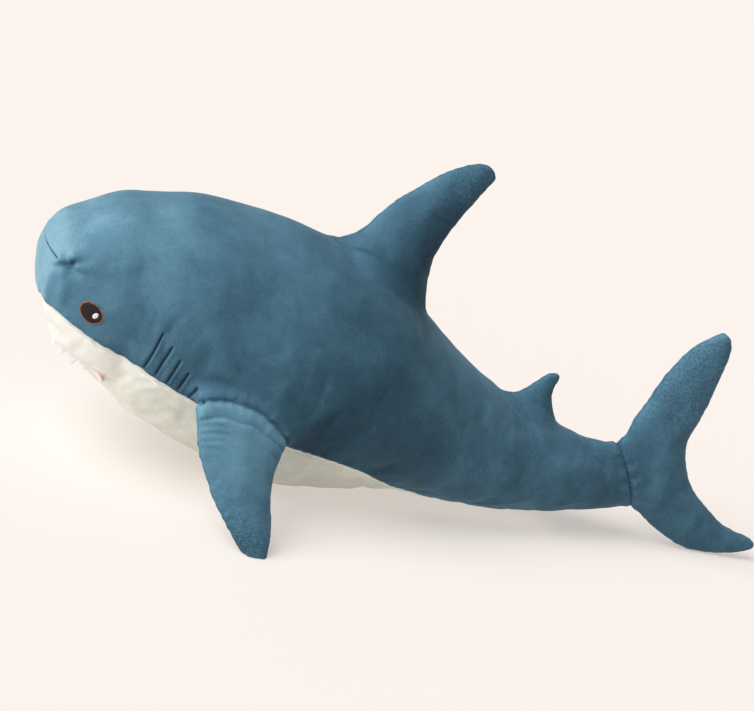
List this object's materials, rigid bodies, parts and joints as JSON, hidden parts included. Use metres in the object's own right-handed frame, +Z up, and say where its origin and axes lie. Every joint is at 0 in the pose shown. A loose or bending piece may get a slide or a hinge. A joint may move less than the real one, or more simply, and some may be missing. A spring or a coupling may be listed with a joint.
{
  "type": "plush shark",
  "caption": "Stuffed toy shark with a blue velour back, white underside, felt teeth, embroidered eyes and soft fins that bend at their seams.",
  "frame": {"origin": "under the middle of the shark's length, on the surface that it lies on", "axes": "the snout points to -X and the tail to +X, the shark's left side is toward -Y, +Z is up"},
  "size_m": [0.8019, 0.3552, 0.3437],
  "materials": {
    "back_fabric": "short-pile velour with a soft sheen",
    "belly_fabric": "short-pile velour, off-white",
    "mouth_fabric": "matte pink lining",
    "felt": "matte felt",
    "filling": "loose polyester fibre",
    "seam_thread": "matte thread",
    "eye_rim_thread": "satin embroidery",
    "eye_dark_thread": "satin embroidery",
    "eye_light_thread": "satin embroidery"
  },
  "bodies": {
    "torso": {"back_panel": "back_fabric", "upper_jaw_panel": "belly_fabric", "belly_panel": "belly_fabric", "torso_filling": "filling", "mouth_lining": "mouth_fabric", "upper_teeth": "felt", "left_eye_outline": "eye_rim_thread", "left_eye_pupil": "eye_dark_thread", "left_eye_glint": "eye_light_thread", "right_eye_outline": "eye_rim_thread", "right_eye_pupil": "eye_dark_thread", "right_eye_glint": "eye_light_thread", "left_gill_stitches": "seam_thread", "right_gill_stitches": "seam_thread", "snout_seam_stitches": "seam_thread", "closing_stitches": "seam_thread"},
    "tail_stock": {"tail_back_panel": "back_fabric", "tail_belly_panel": "belly_fabric", "tail_stock_filling": "filling", "tail_seam_stitches": "seam_thread"},
    "dorsal_fin": {"dorsal_fin_left_panel": "back_fabric", "dorsal_fin_right_panel": "back_fabric", "dorsal_fin_filling": "filling"},
    "rear_dorsal_fin": {"rear_dorsal_left_panel": "back_fabric", "rear_dorsal_right_panel": "back_fabric", "rear_dorsal_filling": "filling"},
    "left_pectoral_fin": {"left_pectoral_upper_panel": "back_fabric", "left_pectoral_lower_panel": "back_fabric", "left_pectoral_filling": "filling"},
    "right_pectoral_fin": {"right_pectoral_upper_panel": "back_fabric", "right_pectoral_lower_panel": "back_fabric", "right_pectoral_filling": "filling"},
    "tail_fin": {"tail_fin_left_panel": "back_fabric", "tail_fin_right_panel": "back_fabric", "tail_fin_filling": "filling"}
  },
  "joints": [
    {"name": "tail_bend", "type": "hinge", "parent": "torso", "child": "tail_stock", "pos_m": [0.045, 0, 0.09], "axis": [0, 0, 1], "range_deg": [-25, 25], "stiffness_Nm_per_rad": 1},
    {"name": "tail_fin_sway", "type": "hinge", "parent": "tail_stock", "child": "tail_fin", "pos_m": [0.228, 0, 0.071], "axis": [-0.5, 0, 0.866], "range_deg": [-35, 35], "stiffness_Nm_per_rad": 0.5},
    {"name": "dorsal_fin_flop", "type": "hinge", "parent": "torso", "child": "dorsal_fin", "pos_m": [-0.074, 0, 0.229], "axis": [0.8746, 0, -0.4848], "range_deg": [-40, 40], "stiffness_Nm_per_rad": 0.5},
    {"name": "rear_dorsal_fin_flop", "type": "hinge", "parent": "tail_stock", "child": "rear_dorsal_fin", "pos_m": [0.106, 0, 0.13], "axis": [0.9455, 0, -0.3256], "range_deg": [-35, 35], "stiffness_Nm_per_rad": 0.05},
    {"name": "left_pectoral_fin_flap", "type": "hinge", "parent": "torso", "child": "left_pectoral_fin", "pos_m": [-0.198, -0.116, 0.095], "axis": [-0.9636, 0, 0.2672], "range_deg": [-20, 60], "stiffness_Nm_per_rad": 0.5},
    {"name": "right_pectoral_fin_flap", "type": "hinge", "parent": "torso", "child": "right_pectoral_fin", "pos_m": [-0.198, 0.116, 0.095], "axis": [0.9636, 0, -0.2672], "range_deg": [-20, 60], "stiffness_Nm_per_rad": 0.5}
  ]
}
